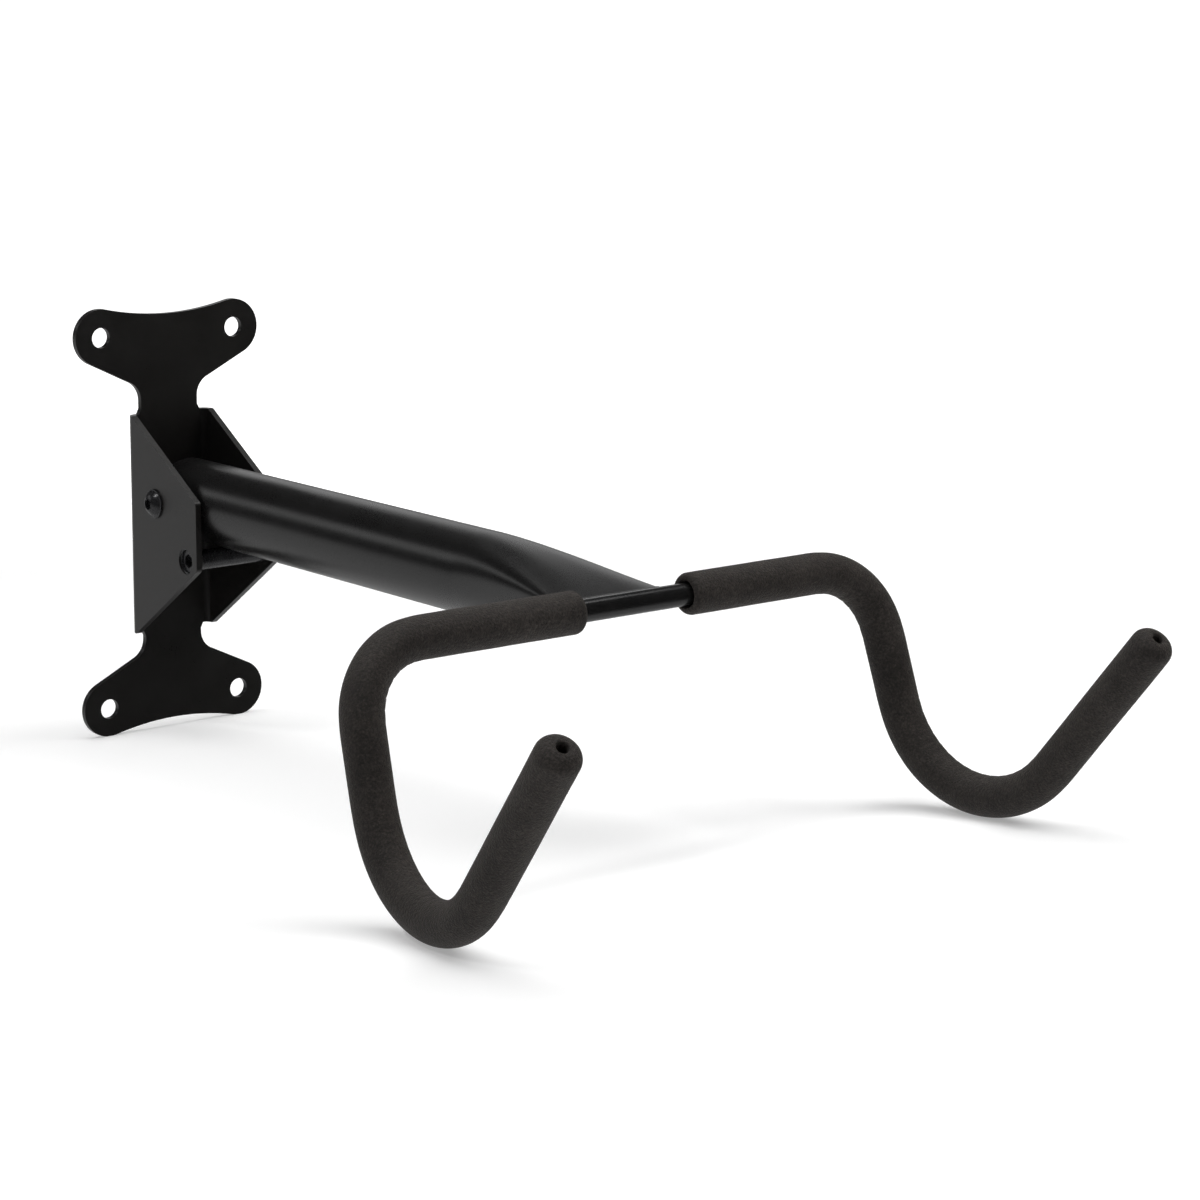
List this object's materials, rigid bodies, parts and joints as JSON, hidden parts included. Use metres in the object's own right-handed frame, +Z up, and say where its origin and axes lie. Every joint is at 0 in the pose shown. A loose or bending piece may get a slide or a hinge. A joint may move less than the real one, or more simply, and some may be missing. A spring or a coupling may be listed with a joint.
{
  "type": "bicycle wall rack",
  "caption": "Folding bicycle wall rack: sheet bracket, round arm that swings up on a pivot bolt, and a bent crossbar with foam-covered hooks for a frame's top tube.",
  "frame": {"origin": "middle of the four wall holes, on the wall side of the bracket", "axes": "+Z up, -Y from the wall along the arm, +X to the right seen from in front of the wall"},
  "size_m": [0.3162, 0.505, 0.2072],
  "materials": {
    "black_powder_coat": "satin",
    "gloss_black_coat": "gloss",
    "black_steel": "semi-gloss",
    "zinc_steel": "satin",
    "blue_nylon": "matte",
    "white_nylon": "matte",
    "foam_rubber": "matte"
  },
  "bodies": {
    "bracket": {"wall_bracket": "black_powder_coat", "stop_boss": "black_powder_coat", "stop_pin": "black_steel", "pivot_bolt": "black_steel", "pivot_nut": "zinc_steel", "nut_insert": "blue_nylon", "nut_washer": "zinc_steel", "friction_washer_left": "white_nylon", "friction_washer_right": "white_nylon"},
    "arm": {"arm_tube": "black_powder_coat", "pivot_sleeve": "zinc_steel", "hook_bar": "gloss_black_coat", "bar_weld_top": "gloss_black_coat", "bar_weld_bottom": "gloss_black_coat", "foam_left": "foam_rubber", "foam_right": "foam_rubber"}
  },
  "joints": [
    {"name": "arm_fold", "type": "hinge", "parent": "bracket", "child": "arm", "pos_m": [0, -0.0258, 0.0127], "axis": [-1, 0, 0], "range_deg": [0, 90]}
  ]
}
